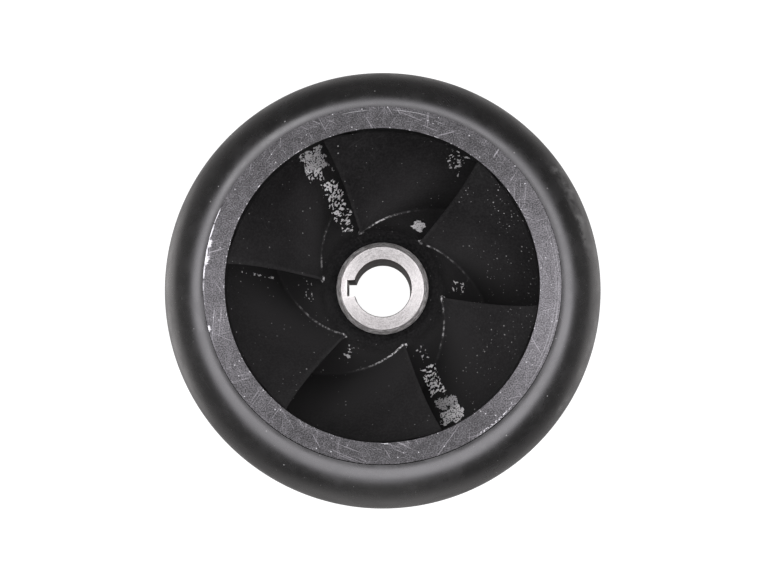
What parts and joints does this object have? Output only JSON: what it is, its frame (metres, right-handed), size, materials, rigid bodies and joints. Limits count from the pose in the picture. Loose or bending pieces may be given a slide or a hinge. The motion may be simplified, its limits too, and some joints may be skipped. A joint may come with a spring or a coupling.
{
  "type": "pump impeller",
  "caption": "closed pump impeller with twisted vanes between two shrouds, a turned eye ring and a keyed steel shaft sleeve",
  "frame": {"origin": "on the axis, at the back face that the impeller lies on", "axes": "+Z along the axis towards the suction eye, the keyway towards -X"},
  "size_m": [0.2158, 0.2158, 0.07],
  "materials": {
    "moulded_body": "satin black",
    "turned_ring": "turned and worn grey",
    "sleeve_steel": "turned steel"
  },
  "bodies": {
    "root": {"eye_ring": "turned_ring", "front_shroud": "moulded_body", "vane_1": "moulded_body", "vane_2": "moulded_body", "vane_3": "moulded_body", "vane_4": "moulded_body", "vane_5": "moulded_body", "vane_6": "moulded_body", "back_shroud": "moulded_body", "steel_sleeve": "sleeve_steel"}
  },
  "joints": []
}
